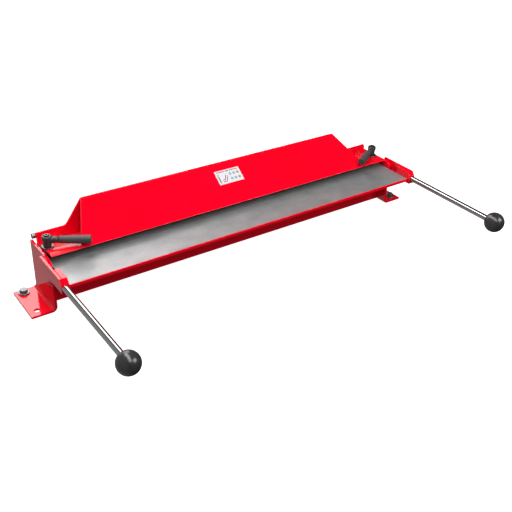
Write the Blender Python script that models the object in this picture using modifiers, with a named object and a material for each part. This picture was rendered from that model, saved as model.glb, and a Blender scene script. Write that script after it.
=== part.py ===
"""Bench-top sheet metal brake: two bent end plates, a bed, a hinged clamp beam with two clamping
levers, and a bending leaf with two handles.

Lengths below are millimetres. X runs along the machine, Y from the operator to the back, and Z up
from the bench. Helpers take Y from the bend line, and BEND_Y places that line in the model.
"""

from math import asin, atan2, cos, pi, radians, sin, tan

import bmesh
import bpy
from mathutils import Matrix, Vector

MM = 0.001
GAP = 0.3
BEND_Y = 122.3

# End plates, each bent outwards into a foot
SHEET = 4.5
PLATE_OUTER_X = 404.0
PLATE_INNER_X = PLATE_OUTER_X - SHEET
PLATE_FRONT_Y = -11.5
PLATE_REAR_Y = 80.5
PLATE_TOP_Z = 104.0
FOOT_X = 448.2
BEND_INNER_R = 6.0
CHAMFER_Y = 12.0
CHAMFER_Z = 8.5
FOOT_HOLE_X = 432.0
FOOT_HOLE_YS = (4.5, 69.5)
FOOT_HOLE_R = 5.5

# Bed
BED_TOP_Z = 91.0
BED_THICK = 8.0
BED_REAR_Y = 80.0
WEB_FRONT_Y = 11.8
WEB_REAR_Y = 72.0
WEB_BOTTOM_Z = 5.8

# Bending leaf, its arms and its handles
LEAF_END_X = 397.4
LEAF_FRONT_Y = -72.7
LEAF_THICK = 6.0
STRIP_THICK = 1.8
ARM_INNER_X = 408.0
ARM_OUTER_X = 412.5
ARM_TOP_Z = 106.0
ARM_BOTTOM_Z = 80.0
ARM_REAR_Y = 14.0
ARM_FRONT_Y = -79.0
ARM_SLOPE_Y = 7.0
ARM_SLOPE_Z = 9.5
BLOCK_REAR_Y = -38.0
BLOCK_INNER_X = LEAF_END_X + GAP
PIN_R = 5.0
PIN_DEPTH = 3.0
RUNNING_GAP = 0.05
ROD_X = 406.0
ROD_Z = 91.0
ROD_R = 6.0
KNOB_Y = -309.6
KNOB_R = 20.0

# Clamp beam, given in its own tilted axes: Y back along the base, Z up from the base's top
BEAM_TILT = radians(9.45)
BEAM_Y = 1.5
BEAM_Z = 110.85
BEAM_END_X = 395.3
BASE_THICK = 5.0
BEVEL_Y = 8.2
BACK_Y = 68.1
BACK_END_X = 394.6
BACK_LOW_Z = 19.4
BACK_TOP_Z = 63.4
BACK_TOP_X = 301.0
BACK_FOOT_X = 337.0
BACK_FILLET = 14.0
PANEL_FOOT_X = 339.0
PANEL_THICK = 2.5
NOSE_LAND_Z = -4.4

# The beam's hinge: a tube behind each end of the back plate turns on a screw held in an ear
PIVOT_Y = 80.0
PIVOT_Z = 110.3
TUBE_R = 4.6
TUBE_INNER_X = 383.0
EAR_XS = (376.5, 382.0)
EAR_FRONT_Y = 76.5
EAR_BOTTOM_Z = 84.0
EAR_NECK_Z = 107.0
HINGE_SCREW_R = 3.0

# Label on the front panel
LABEL_XS = (-22.0, 36.0)
LABEL_DOWN = (0.191, 0.516)
LABEL_THICK = 0.3

# Hex screws: shank radius, half the width across flats, head height
BOLT_STEPS = 24
M8_SCREW = (4.0, 6.5, 5.4)
M6_SCREW = (HINGE_SCREW_R, 5.0, 5.6)

# Clamping levers
LEVER_X = 387.6
LEVER_Y = 37.5
STUD_R = 5.0
STUD_BOTTOM_Z = 60.0
STUD_TOP_Z = 116.5
SLOT_YS = (34.5, 37.5)
SLOT_R = 5.5
COLLAR_R = 11.5
COLLAR_SPHERE = 60.0
COLLAR_BOTTOM_Z = 106.0
COLLAR_TOP_Z = 108.6
HUB_R = 7.5
HEAD_R = 8.8
HEAD_Z = 121.0
NECK_R = 5.75
HUB_TOP_Z = 128.6
GRIP_Z = 121.0
GRIP_ROOT_R = 6.5
GRIP_END_R = 8.0
GRIP_START = 21.5
GRIP_END = 78.0
GRIP_ANGLE = radians(30.5)


def clear_scene():
    for obj in list(bpy.data.objects):
        bpy.data.objects.remove(obj, do_unlink=True)


def new_collection(name):
    collection = bpy.data.collections.new(name)
    bpy.context.scene.collection.children.link(collection)
    return collection


def material(name, colour, metallic, roughness):
    found = bpy.data.materials.get(name)
    if found:
        return found
    made = bpy.data.materials.new(name)
    made.use_nodes = True
    shader = made.node_tree.nodes["Principled BSDF"]
    shader.inputs["Base Color"].default_value = (*colour, 1.0)
    shader.inputs["Metallic"].default_value = metallic
    shader.inputs["Roughness"].default_value = roughness
    return made


FINISHES = {
    "red_paint": ((0.72, 0.01, 0.02), 0.0, 0.2),
    "ground_steel": ((0.55, 0.56, 0.57), 1.0, 0.35),
    "bright_steel": ((0.75, 0.76, 0.78), 1.0, 0.18),
    "zinc_plate": ((0.7, 0.72, 0.74), 1.0, 0.3),
    "black_cast": ((0.02, 0.02, 0.022), 0.0, 0.4),
    "black_grip": ((0.035, 0.035, 0.038), 0.0, 0.55),
    "black_ball": ((0.012, 0.012, 0.014), 0.0, 0.2),
    "label_white": ((0.85, 0.84, 0.82), 0.0, 0.4),
}


def placed(x, y, z):
    """A point in metres from millimetres, with Y counted from the bend line."""
    return Vector((x * MM, (y + BEND_Y) * MM, z * MM))


def on_beam(x, y, z):
    """A point of the clamp beam, from its own tilted axes."""
    back = BEAM_Y + y * cos(BEAM_TILT) + z * sin(BEAM_TILT)
    up = BEAM_Z - y * sin(BEAM_TILT) + z * cos(BEAM_TILT)
    return placed(x, back, up)


def add_object(name, mesh, collection, finish):
    obj = bpy.data.objects.new(name, mesh)
    collection.objects.link(obj)
    if finish:
        own = material(f"{finish}_{name}", *FINISHES[finish])
        mesh.materials.append(own)
    return obj


def add_loft(name, rings, collection, finish, place=placed):
    """A closed solid through rings of equally many points, capped at both ends."""
    grid = bmesh.new()
    rows = [[grid.verts.new(place(*point)) for point in ring] for ring in rings]
    count = len(rows[0])
    for low, high in zip(rows, rows[1:]):
        for i in range(count):
            j = (i + 1) % count
            grid.faces.new((low[i], low[j], high[j], high[i]))
    grid.faces.new(rows[0])
    grid.faces.new(rows[-1])
    bmesh.ops.recalc_face_normals(grid, faces=grid.faces)
    mesh = bpy.data.meshes.new(name)
    grid.to_mesh(mesh)
    grid.free()
    return add_object(name, mesh, collection, finish)


def add_block(name, low, high, collection, finish, place=placed):
    (x0, y0, z0), (x1, y1, z1) = low, high
    ring = [(y0, z0), (y1, z0), (y1, z1), (y0, z1)]
    rings = [[(x, y, z) for y, z in ring] for x in (x0, x1)]
    return add_loft(name, rings, collection, finish, place)


def add_side_plate(name, outline, x0, x1, collection, finish, place=placed):
    """A flat plate lying in YZ, from x0 to x1."""
    rings = [[(x, y, z) for y, z in outline] for x in (x0, x1)]
    return add_loft(name, rings, collection, finish, place)


def add_turned(name, profile, start, direction, collection, finish, steps=40):
    """A turned piece: (radius, distance) from its near end to its far end, along a direction.

    A profile whose ends meet makes a ring.
    """
    ring = profile[0] == profile[-1]
    corners = (profile[:-1] if ring else profile)[::-1]
    points = [(radius * MM, 0.0, along * MM) for radius, along in corners]
    edges = [(i, i + 1) for i in range(len(points) - 1)]
    if ring:
        edges.append((len(points) - 1, 0))
    mesh = bpy.data.meshes.new(name)
    mesh.from_pydata(points, edges, [])
    obj = add_object(name, mesh, collection, finish)
    screw = obj.modifiers.new("Turned", "SCREW")
    screw.axis = "Z"
    screw.steps = steps
    screw.render_steps = steps
    screw.use_merge_vertices = True
    screw.merge_threshold = 0.00001
    screw.use_smooth_shade = True
    turn = Vector((0, 0, 1)).rotation_difference(Vector(direction)).to_matrix().to_4x4()
    obj.matrix_world = Matrix.Translation(start) @ turn
    return obj


def add_cutter(name, centre, direction, radius, length, helpers, steps=40):
    half = length / 2
    profile = [(0, -half), (radius, -half), (radius, half), (0, half)]
    return hide_helper(add_turned(name, profile, centre, direction, helpers, None, steps))


def hide_helper(cutter):
    cutter.hide_render = True
    cutter.display_type = "WIRE"
    return cutter


def cut(obj, cutter, operation="DIFFERENCE"):
    boolean = obj.modifiers.new("Cut", "BOOLEAN")
    boolean.operation = operation
    boolean.solver = "EXACT"
    boolean.object = cutter


def soften(obj, width, angle=40):
    bevel = obj.modifiers.new("Edges", "BEVEL")
    bevel.width = width * MM
    bevel.segments = 1
    bevel.limit_method = "ANGLE"
    bevel.angle_limit = radians(angle)
    return obj


def sides():
    """(name, sign) of the two ends of the machine."""
    return (("left", -1), ("right", 1))


def ordered(sign, inner, outer):
    return sorted((sign * inner, sign * outer))


def arc(centre, radius, start, end, steps):
    turns = [start + (end - start) * i / steps for i in range(steps + 1)]
    return [(centre[0] + radius * cos(t), centre[1] + radius * sin(t)) for t in turns]


def add_hex_bolt(name, size, start, direction, shank, parts):
    """A hex screw: its head stands on start along direction, over a shank going the other way."""
    shank_r, flat_r, head = size
    turn = Vector((0, 0, 1)).rotation_difference(Vector(direction)).to_matrix()
    turns = [2 * pi * i / BOLT_STEPS for i in range(BOLT_STEPS)]
    hexagon = [flat_r / cos(turn_at % (pi / 3) - pi / 6) for turn_at in turns]
    sections = [
        ([shank_r] * BOLT_STEPS, -shank),
        ([shank_r] * BOLT_STEPS, 0),
        (hexagon, 0),
        (hexagon, head - 0.6),
        ([flat_r * 0.98] * BOLT_STEPS, head),
    ]
    rings = []
    for reaches, height in sections:
        ring = [Vector((r * cos(t), r * sin(t), height)) for r, t in zip(reaches, turns)]
        rings.append([tuple(turn @ point * MM + start) for point in ring])
    return add_loft(name, rings, parts, "zinc_plate", lambda *point: Vector(point))


def end_plate_section():
    """The bent sheet seen from the front, as (distance from the middle, height)."""
    centre = (PLATE_OUTER_X + BEND_INNER_R, SHEET + BEND_INNER_R)
    outer = arc(centre, BEND_INNER_R + SHEET, pi, 1.5 * pi, 8)
    inner = arc(centre, BEND_INNER_R, 1.5 * pi, pi, 8)
    top = [(PLATE_OUTER_X, PLATE_TOP_Z), (PLATE_INNER_X, PLATE_TOP_Z)]
    return top + outer + [(FOOT_X, 0.0), (FOOT_X, SHEET)] + inner


def make_end_plate(side, sign, parts, helpers):
    section = end_plate_section()
    rings = [[(sign * x, y, z) for x, z in section] for y in (PLATE_FRONT_Y, PLATE_REAR_Y)]
    plate = add_loft(f"{side}_end_plate", rings, parts, "red_paint")
    corner = [
        (PLATE_FRONT_Y - 5, PLATE_TOP_Z + 5),
        (PLATE_FRONT_Y - 5, PLATE_TOP_Z - CHAMFER_Z - 5 * CHAMFER_Z / CHAMFER_Y),
        (PLATE_FRONT_Y + CHAMFER_Y + 5 * CHAMFER_Y / CHAMFER_Z, PLATE_TOP_Z + 5),
    ]
    low, high = ordered(sign, PLATE_INNER_X - 2, PLATE_OUTER_X + 2)
    cut(plate, hide_helper(add_side_plate(f"{side}_corner_cutter", corner, low, high, helpers, None)))
    pin_centre = placed(sign * PLATE_OUTER_X, 0, BED_TOP_Z)
    depth = 2 * (PIN_DEPTH + GAP)
    cut(plate, add_cutter(f"{side}_pin_cutter", pin_centre, (1, 0, 0), PIN_R + GAP, depth, helpers))
    for i, y in enumerate(FOOT_HOLE_YS):
        centre = placed(sign * FOOT_HOLE_X, y, 0)
        cut(plate, add_cutter(f"{side}_foot_cutter_{i}", centre, (0, 0, 1), FOOT_HOLE_R, 20, helpers))


def make_foot_bolt(side, sign, y, parts):
    hole = M8_SCREW[0] + GAP
    washer = [(hole, 0), (11, 0), (11, 2), (hole, 2), (hole, 0)]
    start = placed(sign * FOOT_HOLE_X, y, SHEET + GAP)
    add_turned(f"{side}_foot_washer", washer, start, (0, 0, 1), parts, "zinc_plate", 32)
    seat = SHEET + 2 + 2 * GAP
    start = placed(sign * FOOT_HOLE_X, y, seat)
    add_hex_bolt(f"{side}_foot_bolt", M8_SCREW, start, (0, 0, 1), seat - GAP, parts)


def make_bed(parts, helpers):
    end = PLATE_INNER_X - GAP
    low_z = BED_TOP_Z - BED_THICK
    high = (end, BED_REAR_Y, BED_TOP_Z)
    plate = add_block("bed_plate", (-end, GAP, low_z), high, parts, "ground_steel")
    for name, y in (("bed_front_web", WEB_FRONT_Y), ("bed_rear_web", WEB_REAR_Y)):
        add_block(name, (-end, y, WEB_BOTTOM_Z), (end, y + SHEET, low_z - GAP), parts, "red_paint")
    for side, sign in sides():
        hole = add_stud_cutter(f"{side}_bed_cutter", sign, helpers)
        cut(plate, hole)
        turns = [pi / 3 * i for i in range(6)]
        reach = 8.5 / cos(pi / 6)
        flat = [(sign * LEVER_X + reach * cos(t), LEVER_Y + reach * sin(t)) for t in turns]
        rings = [[(x, y, z) for x, y in flat] for z in (low_z - GAP - 8, low_z - GAP)]
        cut(add_loft(f"{side}_stud_nut", rings, parts, "zinc_plate"), hole)


def add_stud_cutter(name, sign, helpers):
    centre = placed(sign * LEVER_X, LEVER_Y, BED_TOP_Z - 10)
    return add_cutter(name, centre, (0, 0, 1), STUD_R + RUNNING_GAP, 40, helpers)


def make_pivot(side, sign, parts):
    length = ARM_INNER_X - PLATE_OUTER_X + 2 * PIN_DEPTH
    edge = PIN_R - 0.5
    pin = [(0, 0), (edge, 0), (PIN_R, 0.5), (PIN_R, length - 0.5), (edge, length), (0, length)]
    start = placed(sign * (PLATE_OUTER_X - PIN_DEPTH), 0, BED_TOP_Z)
    add_turned(f"{side}_pivot_pin", pin, start, (sign, 0, 0), parts, "bright_steel")
    width = ARM_INNER_X - PLATE_OUTER_X - 2 * GAP
    hole = PIN_R + GAP
    ring = [(hole, 0), (10, 0), (10, width), (hole, width), (hole, 0)]
    start = placed(sign * (PLATE_OUTER_X + GAP), 0, BED_TOP_Z)
    add_turned(f"{side}_pivot_spacer", ring, start, (sign, 0, 0), parts, "red_paint")


def make_leaf(parts):
    low_z = BED_TOP_Z - LEAF_THICK
    low = (-LEAF_END_X, LEAF_FRONT_Y, low_z)
    add_block("leaf_plate", low, (LEAF_END_X, -GAP, BED_TOP_Z), parts, "ground_steel")
    front = LEAF_FRONT_Y - GAP
    low = (-LEAF_END_X, front - STRIP_THICK, low_z)
    add_block("leaf_front_strip", low, (LEAF_END_X, front, BED_TOP_Z), parts, "red_paint")


def arm_outline(rear):
    return [
        (rear, ARM_BOTTOM_Z),
        (ARM_FRONT_Y, ARM_BOTTOM_Z),
        (ARM_FRONT_Y, ARM_TOP_Z - ARM_SLOPE_Z),
        (ARM_FRONT_Y + ARM_SLOPE_Y, ARM_TOP_Z),
        (rear, ARM_TOP_Z),
    ]


def make_arm(side, sign, parts, helpers):
    low, high = ordered(sign, ARM_INNER_X, ARM_OUTER_X)
    plate = add_side_plate(f"{side}_arm_plate", arm_outline(ARM_REAR_Y), low, high, parts, "red_paint")
    centre = placed(sign * ARM_INNER_X, 0, BED_TOP_Z)
    depth = 2 * (PIN_DEPTH + GAP)
    cut(plate, add_cutter(f"{side}_arm_cutter", centre, (1, 0, 0), PIN_R + RUNNING_GAP, depth, helpers))
    low, high = ordered(sign, BLOCK_INNER_X, ARM_INNER_X - GAP)
    block = add_side_plate(f"{side}_arm_block", arm_outline(BLOCK_REAR_Y), low, high, parts, "red_paint")
    soften(block, 0.6)


def make_handle(side, sign, parts):
    length = ARM_FRONT_Y - GAP - (KNOB_Y + 8)
    rod = [(0, 0), (ROD_R, 0), (ROD_R, length - 1), (ROD_R - 1, length), (0, length)]
    start = placed(sign * ROD_X, ARM_FRONT_Y - GAP, ROD_Z)
    add_turned(f"{side}_handle_rod", rod, start, (0, -1, 0), parts, "bright_steel", 32)
    hole = ROD_R + GAP
    seat = -(KNOB_R**2 - hole**2) ** 0.5
    first = asin(seat / KNOB_R)
    ball = arc((0, 0), KNOB_R, first, pi / 2, 20)
    profile = [(0, -7.7), (hole, -7.7)] + ball[:-1] + [(0, KNOB_R)]
    start = placed(sign * ROD_X, KNOB_Y, ROD_Z)
    knob = add_turned(f"{side}_handle_knob", profile, start, (0, -1, 0), parts, "black_ball")
    return knob


def back_plate_outline():
    """Half of the back plate seen from the front, from the middle of its foot to its top."""
    rise = BACK_TOP_Z - BACK_LOW_Z
    slope = atan2(rise, BACK_FOOT_X - BACK_TOP_X)
    tangent = BACK_FILLET * tan(slope / 2)
    centre = (BACK_FOOT_X + tangent, BACK_LOW_Z + BACK_FILLET)
    fillet = arc(centre, BACK_FILLET, 1.5 * pi, 1.5 * pi - slope, 6)
    return [(BACK_END_X, GAP), (BACK_END_X, BACK_LOW_Z)] + fillet + [(BACK_TOP_X, BACK_TOP_Z)]


def make_back_plate(parts):
    half = back_plate_outline()
    outline = half + [(-x, z) for x, z in reversed(half)]
    rings = [[(x, y, z) for x, z in outline] for y in (BACK_Y, BACK_Y + SHEET)]
    add_loft("clamp_back_plate", rings, parts, "red_paint", on_beam)


def make_clamp_base(parts, helpers):
    rear = BACK_Y + SHEET
    outline = [(0, -BASE_THICK), (rear, -BASE_THICK), (rear, 0), (BEVEL_Y, 0), (0, NOSE_LAND_Z)]
    base = add_side_plate(
        "clamp_base", outline, -BEAM_END_X, BEAM_END_X, parts, "red_paint", on_beam
    )
    for side, sign in sides():
        front = arc((sign * LEVER_X, SLOT_YS[0]), SLOT_R, pi, 2 * pi, 12)
        back = arc((sign * LEVER_X, SLOT_YS[1]), SLOT_R, 0, pi, 12)
        rings = [[(x, y, z) for x, y in front + back] for z in (-10, 5)]
        slot = add_loft(f"{side}_slot_cutter", rings, helpers, None, on_beam)
        cut(base, hide_helper(slot))


def panel_line(down):
    """A point of the sloping panel's outer face, from 0 at the top to 1 at the nose."""
    return (BACK_Y * (1 - down), BACK_TOP_Z + (NOSE_LAND_Z - BACK_TOP_Z) * down)


def make_front_panel(parts):
    run = Vector((BACK_Y, BACK_TOP_Z - NOSE_LAND_Z)).normalized()
    inward = Vector((run.y, -run.x)) * PANEL_THICK
    steep = run.y / run.x
    top_y = BACK_Y - GAP
    foot_z = NOSE_LAND_Z + inward.y
    outline = [
        (top_y, NOSE_LAND_Z + top_y * steep),
        (0.8, NOSE_LAND_Z + 0.8 * steep),
        (inward.x + (GAP - foot_z) / steep, GAP),
        (top_y, foot_z + (top_y - inward.x) * steep),
    ]
    rings = []
    for sign in (-1, 1):
        rings.append([(sign * panel_half_width(z), y, z) for y, z in outline])
    add_loft("clamp_front_panel", rings, parts, "red_paint", on_beam)


def panel_half_width(z):
    down = (BACK_TOP_Z - z) / (BACK_TOP_Z - NOSE_LAND_Z)
    return BACK_TOP_X + (PANEL_FOOT_X - BACK_TOP_X) * down


def make_label(parts):
    run = Vector((BACK_Y, BACK_TOP_Z - NOSE_LAND_Z)).normalized()
    outward = Vector((-run.y, run.x))
    rings = []
    for x in LABEL_XS:
        ring = []
        for down, lift in ((0, 0), (1, 0), (1, 1), (0, 1)):
            foot = Vector(panel_line(LABEL_DOWN[down])) + outward * (0.1 + lift * LABEL_THICK)
            ring.append((x, foot.x, foot.y))
        rings.append(ring)
    add_loft("front_label", rings, parts, "label_white", on_beam)


def make_beam_pivot(side, sign, parts, helpers):
    length = BACK_END_X - TUBE_INNER_X
    bore = HINGE_SCREW_R + RUNNING_GAP
    tube = [(bore, 0), (TUBE_R, 0), (TUBE_R, length), (bore, length), (bore, 0)]
    start = placed(sign * TUBE_INNER_X, PIVOT_Y, PIVOT_Z)
    add_turned(f"{side}_hinge_tube", tube, start, (sign, 0, 0), parts, "red_paint", 32)
    top = arc((PIVOT_Y, PIVOT_Z), TUBE_R, 0, pi, 14)
    foot_y = BED_REAR_Y + GAP
    foot_z = BED_TOP_Z + GAP
    neck = [(EAR_FRONT_Y, EAR_NECK_Z), (EAR_FRONT_Y, foot_z), (foot_y, foot_z)]
    outline = top + neck + [(foot_y, EAR_BOTTOM_Z), (PIVOT_Y + TUBE_R, EAR_BOTTOM_Z)]
    low, high = ordered(sign, *EAR_XS)
    ear = add_side_plate(f"{side}_hinge_ear", outline, low, high, parts, "red_paint")
    centre = placed(sign * EAR_XS[0], PIVOT_Y, PIVOT_Z)
    cut(ear, add_cutter(f"{side}_ear_cutter", centre, (1, 0, 0), HINGE_SCREW_R + GAP, 30, helpers))
    seat = BACK_END_X + GAP
    start = placed(sign * seat, PIVOT_Y, PIVOT_Z)
    add_hex_bolt(f"{side}_hinge_bolt", M6_SCREW, start, (sign, 0, 0), seat - EAR_XS[0], parts)


def make_stud(side, sign, parts):
    length = STUD_TOP_Z - STUD_BOTTOM_Z
    stud = [(0, 0), (STUD_R - 1, 0), (STUD_R, 1), (STUD_R, length), (0, length)]
    start = placed(sign * LEVER_X, LEVER_Y, STUD_BOTTOM_Z)
    add_turned(f"{side}_clamp_stud", stud, start, (0, 0, 1), parts, "bright_steel")
    hole = STUD_R + GAP
    first = asin(hole / COLLAR_SPHERE) - pi / 2
    last = asin(COLLAR_R / COLLAR_SPHERE) - pi / 2
    under = arc((0, COLLAR_SPHERE), COLLAR_SPHERE, first, last, 4)
    top = COLLAR_TOP_Z - COLLAR_BOTTOM_Z
    collar = under + [(COLLAR_R, top), (hole, top), under[0]]
    start = placed(sign * LEVER_X, LEVER_Y, COLLAR_BOTTOM_Z)
    add_turned(f"{side}_lever_collar", collar, start, (0, 0, 1), parts, "black_cast")


def make_lever(side, sign, parts, helpers):
    bottom = COLLAR_TOP_Z + GAP
    hole = STUD_R + RUNNING_GAP
    depth = STUD_TOP_Z + GAP - bottom
    height = HUB_TOP_Z - bottom
    head_start = HEAD_Z - bottom
    hub = [(0, depth), (hole, depth), (hole, 0), (HUB_R, 0), (HUB_R, head_start - 1.5)]
    hub += [(HEAD_R, head_start), (HEAD_R, height - 1.2), (HEAD_R - 1.2, height), (0, height)]
    start = placed(sign * LEVER_X, LEVER_Y, bottom)
    head = add_turned(f"{side}_lever_hub", hub, start, (0, 0, 1), parts, "black_cast")
    along = Vector((-sign * cos(GRIP_ANGLE), -sin(GRIP_ANGLE), 0))
    axis = placed(sign * LEVER_X, LEVER_Y, GRIP_Z)
    neck_length = GRIP_START - GAP - 6
    neck = [(0, 0), (NECK_R, 0), (NECK_R, neck_length), (0, neck_length)]
    root = axis + along * 6 * MM
    neck_solid = add_turned(f"{side}_neck_cutter", neck, root, along, helpers, None)
    cut(head, hide_helper(neck_solid), "UNION")
    length = GRIP_END - GRIP_START
    grip = [(0, 0), (GRIP_ROOT_R - 0.8, 0), (GRIP_ROOT_R, 0.8)]
    grip += [(GRIP_END_R, length - 1), (GRIP_END_R - 1, length), (0, length)]
    root = axis + along * GRIP_START * MM
    add_turned(f"{side}_lever_grip", grip, root, along, parts, "black_grip")
    screw = [(0, 0), (4.4, 0), (4.4, 1.4), (3.4, 2.2), (0, 2.2)]
    start = placed(sign * LEVER_X, LEVER_Y, HUB_TOP_Z + GAP)
    add_turned(f"{side}_lever_screw", screw, start, (0, 0, 1), parts, "black_cast", 24)


def add_axis(name, location, names):
    """An empty on a joint's axis, which carries the pieces that move on it."""
    empty = bpy.data.objects.new(name, None)
    bpy.context.scene.collection.objects.link(empty)
    empty.matrix_world = Matrix.Translation(location)
    for child_name in names:
        child = bpy.data.objects[child_name]
        held = child.matrix_world.copy()
        child.parent = empty
        child.matrix_parent_inverse = Matrix.Translation(location).inverted()
        child.matrix_basis = held


def both(*names):
    return [f"{side}_{name}" for side, _ in sides() for name in names]


def add_axes():
    beam = ["clamp_base", "clamp_back_plate", "clamp_front_panel", "front_label"]
    add_axis("clamp_axis", placed(0, PIVOT_Y, PIVOT_Z), beam + both("hinge_tube"))
    leaf = ["leaf_plate", "leaf_front_strip"]
    leaf += both("arm_plate", "arm_block", "handle_rod", "handle_knob")
    add_axis("leaf_axis", placed(0, 0, BED_TOP_Z), leaf)
    for side, sign in sides():
        centre = placed(sign * LEVER_X, LEVER_Y, GRIP_Z)
        stud = [f"{side}_clamp_stud", f"{side}_lever_collar"]
        add_axis(f"{side}_stud_axis", centre, stud)
        lever = [f"{side}_lever_hub", f"{side}_lever_grip", f"{side}_lever_screw"]
        add_axis(f"{side}_lever_axis", centre, lever)


def main():
    clear_scene()
    parts = new_collection("sheet_metal_brake")
    helpers = new_collection("cutters")
    make_bed(parts, helpers)
    make_clamp_base(parts, helpers)
    make_back_plate(parts)
    make_front_panel(parts)
    make_label(parts)
    make_leaf(parts)
    for side, sign in sides():
        make_end_plate(side, sign, parts, helpers)
        make_pivot(side, sign, parts)
        make_arm(side, sign, parts, helpers)
        make_handle(side, sign, parts)
        make_beam_pivot(side, sign, parts, helpers)
        make_stud(side, sign, parts)
        make_lever(side, sign, parts, helpers)
    make_foot_bolt("left", -1, FOOT_HOLE_YS[1], parts)
    make_foot_bolt("right", 1, FOOT_HOLE_YS[0], parts)
    bpy.context.view_layer.update()
    add_axes()


main()
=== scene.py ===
"""The looks of the sheet metal brake: enamel, ground steel, cast levers, hardware, studio and camera.

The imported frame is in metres: X along the machine, Y to the back, Z up from the bench. Profiles and
other sizes of detailed pieces are in millimetres and are turned into metres where a mesh is made.
"""

from math import atan2, cos, degrees, pi, radians, sin

import bmesh
import bpy
from mathutils import Matrix, Vector


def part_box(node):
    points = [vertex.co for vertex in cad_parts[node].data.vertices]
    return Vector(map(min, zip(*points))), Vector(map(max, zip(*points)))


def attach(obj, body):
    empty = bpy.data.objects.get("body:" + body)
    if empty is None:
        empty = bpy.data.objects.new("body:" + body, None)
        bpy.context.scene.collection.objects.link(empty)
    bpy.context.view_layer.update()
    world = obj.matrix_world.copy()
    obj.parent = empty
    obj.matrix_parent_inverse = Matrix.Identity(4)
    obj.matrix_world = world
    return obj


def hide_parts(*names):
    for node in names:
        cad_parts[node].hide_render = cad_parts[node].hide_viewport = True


MM = 0.001
SIDES = (("left", -1), ("right", 1))

# Camera, in metres, with its Y counted from the bend line, which lies LEAF_GAP behind the leaf plate
CAMERA_PLACE = (-0.774033, -1.113209, 0.817861)
LEAF_GAP = 0.0003
CAMERA_YAW = -0.634629
CAMERA_PITCH = -0.552401
CAMERA_ROLL = -0.042941
CAMERA_LENS = 53.63
CAMERA_SENSOR = 36.0
CAMERA_CLIP = (0.05, 50)

# Edges: SHARP_ANGLE for every piece, widths in millimetres for the CAD nodes
SHARP_ANGLE = radians(30)
WELD_DISTANCE = 0.01
EDGE_WIDTH = 0.4
GROUND_EDGE_WIDTH = 0.1
GROUND_NODES = ("leaf_plate", "bed_plate")

# Colours, each as the two ends of its small variation
RED = ((0.74, 0.0, 0.010), (0.82, 0.0, 0.014))
BARE_UNDERSIDE = ((0.2, 0.2, 0.202), (0.28, 0.28, 0.282))
GROUND_STEEL = ((0.235, 0.236, 0.238), (0.315, 0.316, 0.318))
POLISHED_STEEL = ((0.36, 0.365, 0.37), (0.45, 0.455, 0.46))
ZINC = ((0.17, 0.173, 0.176), (0.26, 0.263, 0.266))
CASTING_BLACK = ((0.012, 0.013, 0.013), (0.03, 0.031, 0.031))
OXIDE_BLACK = ((0.012, 0.013, 0.014), (0.03, 0.031, 0.033))
GRIP_BLACK = ((0.028, 0.029, 0.03), (0.048, 0.049, 0.05))
BALL_BLACK = ((0.018, 0.018, 0.019), (0.032, 0.032, 0.033))
PAPER = ((0.52, 0.515, 0.53), (0.58, 0.575, 0.585))
FLOOR_GREY = ((0.30, 0.30, 0.30), (0.32, 0.32, 0.32))

# A CAD node's finish goes with the first of these words that its name holds
NODE_FINISHES = (
    ("label", "label_paper"),
    ("knob", "black_ball"),
    ("grip", "black_grip"),
    ("lever", "black_casting"),
    ("collar", "black_oxide"),
    ("rod", "bright_bar"),
    ("pin", "bright_bar"),
    ("stud_nut", "zinc_plate"),
    ("clamp_stud", "bright_bar"),
    ("bolt", "zinc_plate"),
    ("washer", "zinc_plate"),
    ("clamp_base", "clamp_bar"),
    ("leaf_plate", "ground_steel"),
    ("bed_plate", "ground_steel"),
)

# Handle rods and ball knobs, in millimetres
ROD_BANDS = 12
ROD_NEAR_CHAMFER = 0.4
ROD_FAR_CHAMFER = 1.0
KNOB_HOLE_FLOOR = -7.7
KNOB_HOLE_CLEARANCE = 0.1
KNOB_HOLE_CHAMFER = (0.6, 0.5)
KNOB_SEAT_WIDTH = 1.6
KNOB_STEPS = 80

# Clamp studs and collars, in millimetres. The thread's crest is a share of its pitch, its flank a slope
STUD_CREST = 4.9
STUD_STEPS = 40
STUD_CHAMFERS = (1.0, 0.3)
THREAD_PITCH = 1.5
THREAD_DEPTH = 0.85
THREAD_START = 2.0
THREAD_END = 54.0
THREAD_CREST_WIDTH = 0.12
THREAD_FLANK = 2.6
THREAD_RINGS_PER_TURN = 8
STUD_HOLE_CLEARANCE = 0.5

# Clamping levers, in millimetres: profiles are (radius, distance along the axis)
CAST_VOXEL = 0.38
CAST_SOFTENING = 5
HUB_STEM_RADIUS = 7.5
HUB_HEAD_RADIUS = 8.8
HUB_TOP_RADIUS = 5.2
HUB_TOP_ROUND = 1.2
HUB_HOLE_TOP_GAP = 0.4
NECK_START = 5.5
NECK_PROFILE = (
    (0, 0),
    (6.7, 0),
    (6.7, 3.6),
    (6.2, 5.2),
    (6.2, 12.4),
    (5.6, 13.0),
    (5.6, 13.8),
    (6.2, 14.4),
    (6.2, 15.5),
    (0, 15.5),
)
GRIP_ANGLE = radians(30.5)
GRIP_START = 21.5
GRIP_END = 78.0
GRIP_RADII = (6.6, 7.7)
GRIP_ROOT_ROUND = 1.1
GRIP_END_ROUND = 1.4
GRIP_BANDS = 12
GRIP_SWELL_BANDS = 8
SCREW_ROUND = 0.7
SCREW_SOCKET_RADIUS = 2.0
SCREW_SOCKET_DEPTH = 1.5

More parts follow.
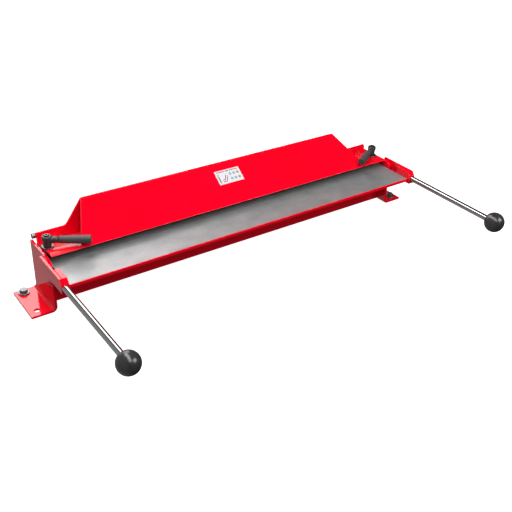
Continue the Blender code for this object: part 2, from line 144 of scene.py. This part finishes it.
# The label's print, in millimetres to the right of and down from its top left corner
PRINT_LIFT = 0.1
LABEL_THICK = 0.3
RED_INK, GREY_INK, BLUE_INK, AMBER_INK = range(4)
INK_TONES = (
    ("red_ink", (0.36, 0.03, 0.08)),
    ("grey_ink", (0.03, 0.03, 0.035)),
    ("blue_ink", (0.17, 0.30, 0.36)),
    ("amber_ink", (0.27, 0.23, 0.11)),
)
BARS = (
    (4.0, 2.6, 23.5, 4.4, RED_INK),
    (25.0, 2.6, 33.0, 4.4, GREY_INK),
    (34.5, 2.6, 53.5, 4.4, RED_INK),
    (3.6, 8.5, 6.0, 11.5, GREY_INK),
    (3.6, 13.0, 6.0, 27.5, GREY_INK),
)
BENT_SHEETS = (
    (((11, 27), (11, 25.2), (18.6, 25.2), (25.4, 13.6), (26.9, 14.5), (19.6, 27)), RED_INK),
    (((11, 22.8), (11, 21.2), (16.2, 21.2), (21.8, 11.6), (23.2, 12.4), (17.1, 22.8)), GREY_INK),
)
DOT_XS = (33.0, 42.0, 51.0)
DOT_YS = (11.5, 22.5)
DOT_RADIUS = 3.1
DOT_CORNERS = 24

# Studio, in metres and watts. The world is bright towards BRIGHT_SIDE and dim away from it
FLOOR_REACH = 8.0
FLOOR_GLOW = 0.97
BRIGHT_SIDE = (-0.92, 0.28, -0.28)
STUDIO_LEVELS = (0.04, 0.42)
STUDIO_FADE = (-0.1, 0.65)
LAMPS = (  # name, place, target, size, power
    ("overhead", (-0.35, -0.2, 1.9), (-0.35, -0.2, 0), (0.6, 3.6), 66),
    ("back", (0.28, 2.1, 1.57), (0, 0.1, 0.1), (1.25, 1.35), 24),
    ("back_low", (0.05, 2.4, 0.62), (0, 0.1, 0.1), (2.0, 1.1), 6),
    ("front_right", (1.1, -1.4, 1.3), (0.1, 0.1, 0.1), (1.3, 0.9), 30),
)


# Shader building blocks


def new_material(name):
    """A node material, its tree and its Principled shader."""
    made = bpy.data.materials.new(name)
    made.use_nodes = True
    tree = made.node_tree
    return made, tree, tree.nodes["Principled BSDF"]


def add_node(tree, kind, **settings):
    """A new node with its properties set."""
    node = tree.nodes.new(kind)
    for key, value in settings.items():
        setattr(node, key, value)
    return node


def stretched_position(tree, per_metre):
    """The surface point in the piece's own metres, scaled along each axis."""
    place = add_node(tree, "ShaderNodeTexCoord")
    mapping = add_node(tree, "ShaderNodeMapping")
    mapping.inputs["Scale"].default_value = per_metre
    tree.links.new(place.outputs["Object"], mapping.inputs["Vector"])
    return mapping.outputs["Vector"]


def noise(tree, per_metre, detail=3.0, roughness=0.5):
    """Noise with about per_metre spots in a metre along X, Y and Z."""
    texture = add_node(tree, "ShaderNodeTexNoise")
    texture.inputs["Scale"].default_value = 1.0
    texture.inputs["Detail"].default_value = detail
    texture.inputs["Roughness"].default_value = roughness
    tree.links.new(stretched_position(tree, per_metre), texture.inputs["Vector"])
    return texture.outputs["Fac"]


def spread(tree, value, low, high, start=0.3, end=0.7):
    """Maps a value from start..end, where most noise lies, onto low..high."""
    ramp = add_node(tree, "ShaderNodeMapRange", clamp=True)
    for name, number in (("From Min", start), ("From Max", end), ("To Min", low), ("To Max", high)):
        ramp.inputs[name].default_value = number
    tree.links.new(value, ramp.inputs["Value"])
    return ramp.outputs["Result"]


def paint(tree, shader, value, colours):
    """Lets the shader's colour go from the first to the second colour with value."""
    mix = add_node(tree, "ShaderNodeMix", data_type="RGBA")
    for name, colour in zip(("A", "B"), colours):
        mix.inputs[name].default_value = (*colour, 1.0)
    tree.links.new(value, mix.inputs["Factor"])
    tree.links.new(mix.outputs["Result"], shader.inputs["Base Color"])


def gloss(tree, shader, value, low, high):
    """Lets the shader's roughness go from low to high with a noise value."""
    tree.links.new(spread(tree, value, low, high), shader.inputs["Roughness"])


def relief(tree, shader, height, depth, strength=1.0):
    """Bumps the surface by depth metres where height goes from 0 to 1."""
    node = add_node(tree, "ShaderNodeBump")
    node.inputs["Distance"].default_value = depth
    node.inputs["Strength"].default_value = strength
    tree.links.new(height, node.inputs["Height"])
    tree.links.new(node.outputs["Normal"], shader.inputs["Normal"])
    return node.outputs["Normal"]


# Materials


def red_enamel():
    """Gloss red enamel: faint orange peel, a little unevenness in colour and gloss."""
    made, tree, shader = new_material("red_enamel")
    clouds = noise(tree, (9, 9, 9), 4)
    peel = noise(tree, (420, 420, 420), 1)
    smears = noise(tree, (35, 60, 35), 5, 0.6)
    paint(tree, shader, spread(tree, clouds, 0, 1), RED)
    gloss(tree, shader, smears, 0.30, 0.42)
    normal = relief(tree, shader, peel, 0.00006)
    tree.links.new(normal, shader.inputs["Coat Normal"])
    shader.inputs["Specular IOR Level"].default_value = 0.0
    shader.inputs["Coat Weight"].default_value = 1.0
    shader.inputs["Coat Roughness"].default_value = 0.06
    shader.inputs["Coat IOR"].default_value = 1.5
    return made


def clamp_bar():
    """Red enamel above, and below it the bare oiled steel that grips the sheet."""
    made = red_enamel()
    made.name = "clamp_bar"
    tree = made.node_tree
    above = tree.nodes["Principled BSDF"]
    above.inputs["Coat Roughness"].default_value = 0.28
    below = add_node(tree, "ShaderNodeBsdfPrincipled")
    stains = noise(tree, (60, 60, 60), 4, 0.6)
    paint(tree, below, stains, BARE_UNDERSIDE)
    gloss(tree, below, stains, 0.4, 0.6)
    below.inputs["Metallic"].default_value = 0.6
    place = add_node(tree, "ShaderNodeTexCoord")
    split = add_node(tree, "ShaderNodeSeparateXYZ")
    tree.links.new(place.outputs["Normal"], split.inputs["Vector"])
    facing_down = spread(tree, split.outputs["Z"], 1.0, 0.0, start=-0.7, end=-0.6)
    mix = add_node(tree, "ShaderNodeMixShader")
    tree.links.new(facing_down, mix.inputs["Fac"])
    tree.links.new(above.outputs["BSDF"], mix.inputs[1])
    tree.links.new(below.outputs["BSDF"], mix.inputs[2])
    tree.links.new(mix.outputs["Shader"], tree.nodes["Material Output"].inputs["Surface"])
    return made


def ground_steel():
    """Bare ground flat bar: fine lengthwise grain, wipe marks and soft mottling."""
    made, tree, shader = new_material("ground_steel")
    grain = noise(tree, (25, 2600, 2600), 2, 0.6)
    mottle = noise(tree, (28, 34, 30), 6, 0.62)
    wipes = noise(tree, (90, 14, 40), 4, 0.6)
    paint(tree, shader, spread(tree, mottle, 0, 1), GROUND_STEEL)
    gloss(tree, shader, wipes, 0.4, 0.48)
    relief(tree, shader, grain, 0.00002, 0.7)
    shader.inputs["Metallic"].default_value = 0.6
    return made


def bright_bar():
    """Polished round bar with the faint rings that polishing leaves."""
    made, tree, shader = new_material("bright_bar")
    rings = noise(tree, (300, 5200, 300), 2, 0.6)
    haze = noise(tree, (60, 25, 60), 4)
    paint(tree, shader, haze, POLISHED_STEEL)
    gloss(tree, shader, haze, 0.05, 0.09)
    relief(tree, shader, rings, 0.00001, 0.12)
    shader.inputs["Metallic"].default_value = 1.0
    return made


def zinc_plate():
    """Dull zinc plate with a fine mottle."""
    made, tree, shader = new_material("zinc_plate")
    spots = noise(tree, (700, 700, 700), 3)
    paint(tree, shader, spots, ZINC)
    gloss(tree, shader, spots, 0.38, 0.52)
    shader.inputs["Metallic"].default_value = 1.0
    return made


def black_casting():
    """Satin black paint over a die casting's fine skin."""
    made, tree, shader = new_material("black_casting")
    skin = noise(tree, (1500, 1500, 1500), 2)
    paint(tree, shader, skin, CASTING_BLACK)
    gloss(tree, shader, skin, 0.34, 0.5)
    relief(tree, shader, skin, 0.00006, 0.6)
    return made


def black_oxide():
    """Smooth blackened steel with an oily shine."""
    made, tree, shader = new_material("black_oxide")
    film = noise(tree, (240, 240, 240), 4, 0.6)
    paint(tree, shader, film, OXIDE_BLACK)
    gloss(tree, shader, film, 0.16, 0.28)
    shader.inputs["Specular IOR Level"].default_value = 0.8
    return made


def black_grip():
    """Matt moulded grip with a fine pebbled skin."""
    made, tree, shader = new_material("black_grip")
    pebble = add_node(tree, "ShaderNodeTexVoronoi")
    pebble.inputs["Scale"].default_value = 1.0
    tree.links.new(stretched_position(tree, (1300, 1300, 1300)), pebble.inputs["Vector"])
    worn = noise(tree, (160, 160, 160), 3)
    paint(tree, shader, worn, GRIP_BLACK)
    gloss(tree, shader, worn, 0.5, 0.62)
    relief(tree, shader, pebble.outputs["Distance"], 0.00012, 0.5)
    return made


def black_ball():
    """Polished thermoset ball, with a trace of swirl in its gloss."""
    made, tree, shader = new_material("black_ball")
    swirl = noise(tree, (120, 60, 120), 5, 0.6)
    paint(tree, shader, swirl, BALL_BLACK)
    gloss(tree, shader, swirl, 0.2, 0.3)
    return made


def label_paper():
    """Coated paper with a trace of fibre."""
    made, tree, shader = new_material("label_paper")
    fibres = noise(tree, (900, 900, 900), 4)
    paint(tree, shader, fibres, PAPER)
    gloss(tree, shader, fibres, 0.3, 0.4)
    return made


def inks():
    """The label's printing inks, each a little uneven."""
    made = []
    for name, tone in INK_TONES:
        ink, tree, shader = new_material(name)
        patches = noise(tree, (1400, 1400, 1400), 3)
        thin = [0.9 * part + 0.05 for part in tone]
        paint(tree, shader, spread(tree, patches, 0, 1), (tone, thin))
        gloss(tree, shader, patches, 0.3, 0.45)
        made.append(ink)
    return made


FINISH_MAKERS = (
    red_enamel,
    clamp_bar,
    ground_steel,
    bright_bar,
    zinc_plate,
    black_casting,
    black_oxide,
    black_grip,
    black_ball,
    label_paper,
)


# CAD nodes: finishes, shading and rounded edges


def finish_of(node_name):
    """The name of a CAD node's finish."""
    for word, finish in NODE_FINISHES:
        if word in node_name:
            return finish
    return "red_enamel"


def shade_round_group():
    """Modifier nodes that shade round surfaces smoothly and leave edges over SHARP_ANGLE sharp."""
    group = bpy.data.node_groups.new("shade_round", "GeometryNodeTree")
    for way in ("INPUT", "OUTPUT"):
        group.interface.new_socket("Geometry", in_out=way, socket_type="NodeSocketGeometry")
    plain = add_node(group, "GeometryNodeRemoveAttribute")
    plain.inputs["Name"].default_value = "custom_normal"
    faces = add_node(group, "GeometryNodeSetShadeSmooth", domain="FACE")
    edges = add_node(group, "GeometryNodeSetShadeSmooth", domain="EDGE")
    edges.inputs["Shade Smooth"].default_value = False
    sharp = add_node(group, "FunctionNodeCompare", data_type="FLOAT", operation="GREATER_THAN")
    sharp.inputs["B"].default_value = SHARP_ANGLE
    angle = add_node(group, "GeometryNodeInputMeshEdgeAngle")
    group.links.new(angle.outputs["Unsigned Angle"], sharp.inputs["A"])
    group.links.new(sharp.outputs["Result"], edges.inputs["Selection"])
    chain = [add_node(group, "NodeGroupInput"), plain, faces, edges, add_node(group, "NodeGroupOutput")]
    for first, second in zip(chain, chain[1:]):
        group.links.new(first.outputs["Geometry"], second.inputs["Geometry"])
    return group


def round_edges(obj, width, shading):
    """Joins a CAD node's faces, then rounds its sharp edges and keeps its flats flat."""
    weld = obj.modifiers.new("Join", "WELD")
    weld.merge_threshold = WELD_DISTANCE * MM
    obj.modifiers.new("Shading", "NODES").node_group = shading
    bevel = obj.modifiers.new("Edges", "BEVEL")
    bevel.width = width * MM
    bevel.segments = 2
    bevel.limit_method = "ANGLE"
    bevel.angle_limit = SHARP_ANGLE
    flatten = obj.modifiers.new("Flats", "WEIGHTED_NORMAL")
    flatten.keep_sharp = True


def dress(nodes, finishes):
    """Gives every CAD node its finish and its rounded edges."""
    shading = shade_round_group()
    for name, obj in nodes.items():
        obj.data.materials.clear()
        obj.data.materials.append(finishes[finish_of(name)])
        round_edges(obj, GROUND_EDGE_WIDTH if name in GROUND_NODES else EDGE_WIDTH, shading)


# Detailed pieces


def centre_of(node):
    """The middle of a CAD node's box."""
    low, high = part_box(node)
    return (low + high) / 2


def foot_of(node):
    """The lowest point on an upright CAD node's axis."""
    middle = centre_of(node)
    return Vector((middle.x, middle.y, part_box(node)[0].z))


def extent_of(node):
    """A CAD node's size along X, Y and Z, in millimetres."""
    low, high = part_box(node)
    return tuple((far - near) / MM for near, far in zip(low, high))


def lever_line(side, sign):
    """The stud's axis at the level of the grip, and the way the grip points."""
    axis = centre_of(f"{side}_clamp_stud")
    level = centre_of(f"{side}_lever_grip").z
    return Vector((axis.x, axis.y, level)), Vector((-sign * cos(GRIP_ANGLE), -sin(GRIP_ANGLE), 0))


def curve(centre, radius, start, end, steps):
    """Points of an arc, with angles in degrees, for a profile."""
    turns = [radians(start + (end - start) * i / steps) for i in range(steps + 1)]
    return [(centre[0] + radius * cos(t), centre[1] + radius * sin(t)) for t in turns]


def turned_mesh(name, profile, start, direction, inset=None, steps=72):
    """A closed surface turned from (radius, height) points; inset may pull a point in."""
    turn = Vector((0, 0, 1)).rotation_difference(Vector(direction)).to_matrix()
    shape = bmesh.new()
    rings = []
    for radius, height in profile:
        ring = []
        for step in range(steps if radius else 1):
            angle = 2 * pi * step / steps
            reach = radius - (inset(angle, radius, height) if inset else 0)
            point = Vector((reach * cos(angle), reach * sin(angle), height)) * MM
            ring.append(shape.verts.new(turn @ point + Vector(start)))
        rings.append(ring)
    for low, high in zip(rings, rings[1:]):
        for step in range(steps):
            after = (step + 1) % steps
            corners = [low[step % len(low)], low[after % len(low)]]
            corners += [high[after % len(high)], high[step % len(high)]]
            shape.faces.new(list(dict.fromkeys(corners)))
    bmesh.ops.recalc_face_normals(shape, faces=shape.faces)
    mesh = bpy.data.meshes.new(name)
    shape.to_mesh(mesh)
    shape.free()
    mesh.shade_smooth()
    mesh.set_sharp_from_angle(angle=SHARP_ANGLE)
    return mesh


def add_piece(name, mesh, body, finish, nodes):
    """A finished visible piece: it moves with body, stands in for nodes, which it hides, and takes the
    given finish.
    """
    mesh.materials.append(finish)
    piece = bpy.data.objects.new(name, mesh)
    bpy.context.scene.collection.objects.link(piece)
    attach(piece, body)
    if nodes:
        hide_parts(*nodes)
    return piece


def make_rod(side, finishes):
    """The polished handle bar, from the arm block forwards."""
    node = f"{side}_handle_rod"
    _, length, thick = extent_of(node)
    radius = thick / 2
    middle = centre_of(node)
    start = Vector((middle.x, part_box(node)[1].y, middle.z))
    profile = [(0, 0), (radius - ROD_NEAR_CHAMFER, 0), (radius, ROD_NEAR_CHAMFER)]
    profile += [(radius, length * i / ROD_BANDS) for i in range(1, ROD_BANDS)]
    profile += [(radius, length - ROD_FAR_CHAMFER), (radius - ROD_FAR_CHAMFER, length), (0, length)]
    mesh = turned_mesh(node, profile, start, (0, -1, 0))
    add_piece(f"{side}_bright_rod", mesh, "leaf", finishes["bright_bar"], [node])


def make_knob(side, finishes):
    """The ball knob, with a flat seat round the hole that the bar enters."""
    node = f"{side}_handle_knob"
    radius = extent_of(node)[0] / 2
    hole = extent_of(f"{side}_handle_rod")[2] / 2 + KNOB_HOLE_CLEARANCE
    rim = hole + KNOB_SEAT_WIDTH
    seat = -((radius**2 - rim**2) ** 0.5)
    wide, deep = KNOB_HOLE_CHAMFER
    middle = centre_of(node)
    start = Vector((middle.x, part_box(node)[0].y + radius * MM, middle.z))
    profile = [(0, KNOB_HOLE_FLOOR), (hole, KNOB_HOLE_FLOOR), (hole, seat + deep), (hole + wide, seat)]
    profile += curve((0, 0), radius, -degrees(atan2(-seat, rim)), 90, 44)[:-1] + [(0, radius)]
    mesh = turned_mesh(node, profile, start, (0, -1, 0), steps=KNOB_STEPS)
    add_piece(f"{side}_ball_knob", mesh, "leaf", finishes["black_ball"], [node])


def thread_depth(angle, radius, height):
    """How far the M10 thread lies below its crest at an angle and a height."""
    if radius < STUD_CREST or not THREAD_START < height < THREAD_END:
        return 0
    place = (height / THREAD_PITCH - angle / (2 * pi)) % 1
    off_crest = abs(place - 0.5) * 2
    return THREAD_DEPTH * min(1, THREAD_FLANK * max(0, off_crest - THREAD_CREST_WIDTH))


def make_stud(side, finishes):
    """The clamp stud, with its real thread."""
    node = f"{side}_clamp_stud"
    wide, _, length = extent_of(node)
    radius = wide / 2
    low_chamfer, top_chamfer = STUD_CHAMFERS
    rise = THREAD_PITCH / THREAD_RINGS_PER_TURN
    rings = int((length - 2 * low_chamfer) / rise)
    profile = [(0, 0), (radius - low_chamfer, 0), (radius, low_chamfer)]
    profile += [(radius, low_chamfer + rise * i) for i in range(1, rings)]
    profile += [(radius, length - top_chamfer), (radius - top_chamfer, length), (0, length)]
    mesh = turned_mesh(node, profile, foot_of(node), (0, 0, 1), thread_depth, STUD_STEPS)
    add_piece(f"{side}_threaded_stud", mesh, f"{side}_stud", finishes["zinc_plate"], [node])


def make_collar(side, finishes):
    """The dished collar under the lever, open for the stud."""
    node = f"{side}_lever_collar"
    wide, _, height = extent_of(node)
    radius = wide / 2
    hole = STUD_CREST + STUD_HOLE_CLEARANCE
    # Up the hole, out over the rounded top edge, down the rim and back under the dished base
    profile = [(hole, 0.3), (hole, height), (radius - 0.9, height), (radius - 0.3, height - 0.25)]
    profile += [(radius, height - 0.7), (radius, 1.3), (radius - 0.5, 0.9), (hole, 0.3)]
    mesh = turned_mesh(node, profile, foot_of(node), (0, 0, 1))
    finish = finishes["black_oxide"]
    add_piece(f"{side}_flange_collar", mesh, f"{side}_stud", finish, [node])


def baked(obj):
    """The object's mesh with its modifiers applied."""
    graph = bpy.context.evaluated_depsgraph_get()
    return bpy.data.meshes.new_from_object(obj.evaluated_get(graph))


def cast_together(stem, neck):
    """One soft cast form of two turned meshes."""
    forms = [bpy.data.objects.new(mesh.name, mesh) for mesh in (stem, neck)]
    for form in forms:
        bpy.context.scene.collection.objects.link(form)
    body, branch = forms
    union = body.modifiers.new("Neck", "BOOLEAN")
    union.operation = "UNION"
    union.solver = "EXACT"
    union.object = branch
    remesh = body.modifiers.new("Cast", "REMESH")
    remesh.mode = "VOXEL"
    remesh.voxel_size = CAST_VOXEL * MM
    remesh.use_smooth_shade = True
    soft = body.modifiers.new("Blend", "SMOOTH")
    soft.factor = 0.5
    soft.iterations = CAST_SOFTENING
    mesh = baked(body)
    mesh.shade_smooth()
    for form in forms:
        bpy.data.objects.remove(form)
    return mesh


def hub_profile(height, hole_top, neck_level):
    """The hub's outline: a hole for the stud, a stem and a wider head that starts at the neck."""
    hole = STUD_CREST + STUD_HOLE_CLEARANCE
    stem = [(0, hole_top), (hole, hole_top), (hole, 0), (HUB_STEM_RADIUS - 0.5, 0)]
    stem += [(HUB_STEM_RADIUS, 0.5), (HUB_STEM_RADIUS - 0.1, neck_level - 3.5)]
    head = [(HUB_HEAD_RADIUS - 0.6, neck_level - 1.2), (HUB_HEAD_RADIUS, neck_level + 0.6)]
    head += [(HUB_HEAD_RADIUS, height - 1.4)]
    head += curve((HUB_HEAD_RADIUS - HUB_TOP_ROUND, height - HUB_TOP_ROUND), HUB_TOP_ROUND, 10, 80, 4)
    head += [(HUB_TOP_RADIUS, height), (HUB_TOP_RADIUS - 0.3, height - 0.3), (0, height - 0.3)]
    return stem + head


def make_hub(side, sign, finishes):
    """The cast hub: a stem over the stud, a wider head, and a neck that blends into it."""
    node = f"{side}_lever_hub"
    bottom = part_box(node)[0].z
    hole_top = (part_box(f"{side}_clamp_stud")[1].z - bottom) / MM + HUB_HOLE_TOP_GAP
    centre, along = lever_line(side, sign)
    neck_level = (centre_of(f"{side}_lever_grip").z - bottom) / MM
    outline = hub_profile(extent_of(node)[2], hole_top, neck_level)
    stem = turned_mesh("hub_form", outline, Vector((centre.x, centre.y, bottom)), (0, 0, 1))
    neck = turned_mesh("neck_form", NECK_PROFILE, centre + along * NECK_START * MM, along)
    mesh = cast_together(stem, neck)
    add_piece(f"{side}_cast_hub", mesh, f"{side}_lever", finishes["black_casting"], [node])


def make_grip(side, sign, finishes):
    """The moulded grip: narrow at the root, wider at a softly rounded end."""
    node = f"{side}_lever_grip"
    centre, along = lever_line(side, sign)
    length = GRIP_END - GRIP_START
    root, end = GRIP_RADII
    profile = [(0, 0), (root - 1.2, 0), (root - 0.4, 0.3), (root, GRIP_ROOT_ROUND)]
    for band in range(1, GRIP_BANDS + 1):
        swell = sin(pi / 2 * min(1, band / GRIP_SWELL_BANDS))
        along_grip = GRIP_ROOT_ROUND + (length - 3) * band / GRIP_BANDS
        profile.append((root + (end - root) * swell, along_grip))
    profile += curve((end - GRIP_END_ROUND, length - GRIP_END_ROUND), GRIP_END_ROUND, 10, 80, 5)
    profile += [(end - 2, length), (0, length)]
    mesh = turned_mesh(node, profile, centre + along * GRIP_START * MM, along)
    add_piece(f"{side}_moulded_grip", mesh, f"{side}_lever", finishes["black_grip"], [node])


def make_lever_screw(side, finishes):
    """The cap screw in the hub's top, with its socket."""
    node = f"{side}_lever_screw"
    wide, _, height = extent_of(node)
    radius = wide / 2
    socket = SCREW_SOCKET_RADIUS
    floor = height - SCREW_SOCKET_DEPTH
    profile = [(0, 0), (radius - 0.2, 0), (radius, 0.2), (radius, height - SCREW_ROUND)]
    profile += curve((radius - SCREW_ROUND, height - SCREW_ROUND), SCREW_ROUND, 10, 90, 4)
    profile += [(socket + 0.3, height), (socket, height - 0.3), (socket, floor), (0, floor - 0.2)]
    mesh = turned_mesh(node, profile, foot_of(node), (0, 0, 1))
    add_piece(f"{side}_cap_screw", mesh, f"{side}_lever", finishes["black_oxide"], [node])


# The label's print


def label_plane():
    """The print's top left corner, and the label's downward and outward directions."""
    low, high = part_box("front_label")
    rise = high.z - low.z
    run = high.y - low.y
    thick = LABEL_THICK * MM
    slope = atan2(rise, run)
    slope = atan2(rise - thick * cos(slope), run - thick * sin(slope))
    outward = Vector((0, -sin(slope), cos(slope)))
    down = Vector((0, -cos(slope), -sin(slope)))
    corner = Vector((low.x, high.y - thick * sin(slope), high.z)) + outward * PRINT_LIFT * MM
    return corner, down, outward


def print_marks():
    """The outline and ink of every mark: plain bars, two bent sheets and six dots."""
    marks = [(((x0, y0), (x0, y1), (x1, y1), (x1, y0)), ink) for x0, y0, x1, y1, ink in BARS]
    marks += BENT_SHEETS
    for x in DOT_XS:
        for y in DOT_YS:
            ring = curve((x, y), DOT_RADIUS, 360, 360 / DOT_CORNERS, DOT_CORNERS - 1)
            marks.append((ring, AMBER_INK if x == DOT_XS[-1] else BLUE_INK))
    return marks


def make_print():
    """The print, a hair above the label."""
    corner, down, outward = label_plane()
    shape = bmesh.new()
    for outline, ink in print_marks():
        corners = [corner + Vector((x, 0, 0)) * MM + down * y * MM for x, y in outline]
        face = shape.faces.new([shape.verts.new(point) for point in corners])
        face.material_index = ink
        face.normal_update()
        if face.normal.dot(outward) < 0:
            face.normal_flip()
    mesh = bpy.data.meshes.new("label_print")
    shape.to_mesh(mesh)
    shape.free()
    first, *others = inks()
    piece = add_piece("label_print", mesh, "clamp_beam", first, [])
    for ink in others:
        piece.data.materials.append(ink)


# Studio and camera


def add_floor():
    """A pale floor that glows a little, which neither lights nor shows in the object."""
    mesh = bpy.data.meshes.new("floor")
    corners = [(x * FLOOR_REACH, y * FLOOR_REACH, 0) for x, y in ((-1, -1), (1, -1), (1, 1), (-1, 1))]
    mesh.from_pydata(corners, [], [(0, 1, 2, 3)])
    floor = bpy.data.objects.new("floor", mesh)
    bpy.context.scene.collection.objects.link(floor)
    made, tree, shader = new_material("pale_floor")
    paint(tree, shader, noise(tree, (2, 2, 2), 2), FLOOR_GREY)
    shader.inputs["Roughness"].default_value = 0.9
    shader.inputs["Specular IOR Level"].default_value = 0.0
    shader.inputs["Emission Color"].default_value = (1, 1, 1, 1)
    shader.inputs["Emission Strength"].default_value = FLOOR_GLOW
    mesh.materials.append(made)
    floor.visible_glossy = False
    floor.visible_diffuse = False


def add_lamp(name, place, target, size, power):
    """A rectangular soft lamp aimed at target, which the camera doesn't see."""
    light = bpy.data.lights.new(name, "AREA")
    light.shape = "RECTANGLE"
    light.size, light.size_y = size
    light.energy = power
    lamp = bpy.data.objects.new(name, light)
    lamp.visible_camera = False
    bpy.context.scene.collection.objects.link(lamp)
    aim = Vector(target) - Vector(place)
    lamp.matrix_world = Matrix.Translation(place) @ aim.to_track_quat("-Z", "Y").to_matrix().to_4x4()


def add_world():
    """Studio light that fades away from BRIGHT_SIDE. Seen directly, the studio is white."""
    world = bpy.data.worlds.new("studio")
    bpy.context.scene.world = world
    world.use_nodes = True
    tree = world.node_tree
    sky = tree.nodes["Background"]
    place = add_node(tree, "ShaderNodeTexCoord")
    dot = add_node(tree, "ShaderNodeVectorMath", operation="DOT_PRODUCT")
    dot.inputs[1].default_value = BRIGHT_SIDE
    tree.links.new(place.outputs["Generated"], dot.inputs[0])
    level = spread(tree, dot.outputs["Value"], *STUDIO_LEVELS, *STUDIO_FADE)
    seen = add_node(tree, "ShaderNodeLightPath")
    mix = add_node(tree, "ShaderNodeMix", data_type="FLOAT")
    mix.inputs["B"].default_value = 1.0
    tree.links.new(seen.outputs["Is Camera Ray"], mix.inputs["Factor"])
    tree.links.new(level, mix.inputs["A"])
    tree.links.new(mix.outputs["Result"], sky.inputs["Strength"])
    sky.inputs["Color"].default_value = (1, 1, 1, 1)


def add_camera():
    """The camera, in front of the machine, to its left and above it."""
    camera = bpy.data.cameras.new("camera")
    camera.sensor_width = CAMERA_SENSOR
    camera.lens = CAMERA_LENS
    camera.clip_start, camera.clip_end = CAMERA_CLIP
    obj = bpy.data.objects.new("camera", camera)
    bpy.context.scene.collection.objects.link(obj)
    turn = Matrix.Rotation(CAMERA_YAW, 4, "Z") @ Matrix.Rotation(CAMERA_PITCH, 4, "X")
    turn = turn @ Matrix.Rotation(CAMERA_ROLL, 4, "Y") @ Matrix.Rotation(pi / 2, 4, "X")
    bend_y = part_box("leaf_plate")[1].y + LEAF_GAP
    obj.matrix_world = Matrix.Translation(Vector(CAMERA_PLACE) + Vector((0, bend_y, 0))) @ turn
    bpy.context.scene.camera = obj


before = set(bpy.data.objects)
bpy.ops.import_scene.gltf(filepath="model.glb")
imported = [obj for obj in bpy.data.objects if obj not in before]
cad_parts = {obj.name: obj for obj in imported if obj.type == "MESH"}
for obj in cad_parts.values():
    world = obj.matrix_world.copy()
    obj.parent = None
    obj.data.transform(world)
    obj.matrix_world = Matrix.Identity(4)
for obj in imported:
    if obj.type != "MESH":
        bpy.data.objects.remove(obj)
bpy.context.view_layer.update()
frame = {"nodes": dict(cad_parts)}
finishes = {maker.__name__: maker() for maker in FINISH_MAKERS}
dress(frame["nodes"], finishes)
for side, sign in SIDES:
    make_rod(side, finishes)
    make_knob(side, finishes)
    make_stud(side, finishes)
    make_collar(side, finishes)
    make_hub(side, sign, finishes)
    make_grip(side, sign, finishes)
    make_lever_screw(side, finishes)
make_print()
add_floor()
add_world()
for lamp in LAMPS:
    add_lamp(*lamp)
add_camera()
bpy.context.scene.view_settings.view_transform = "Standard"
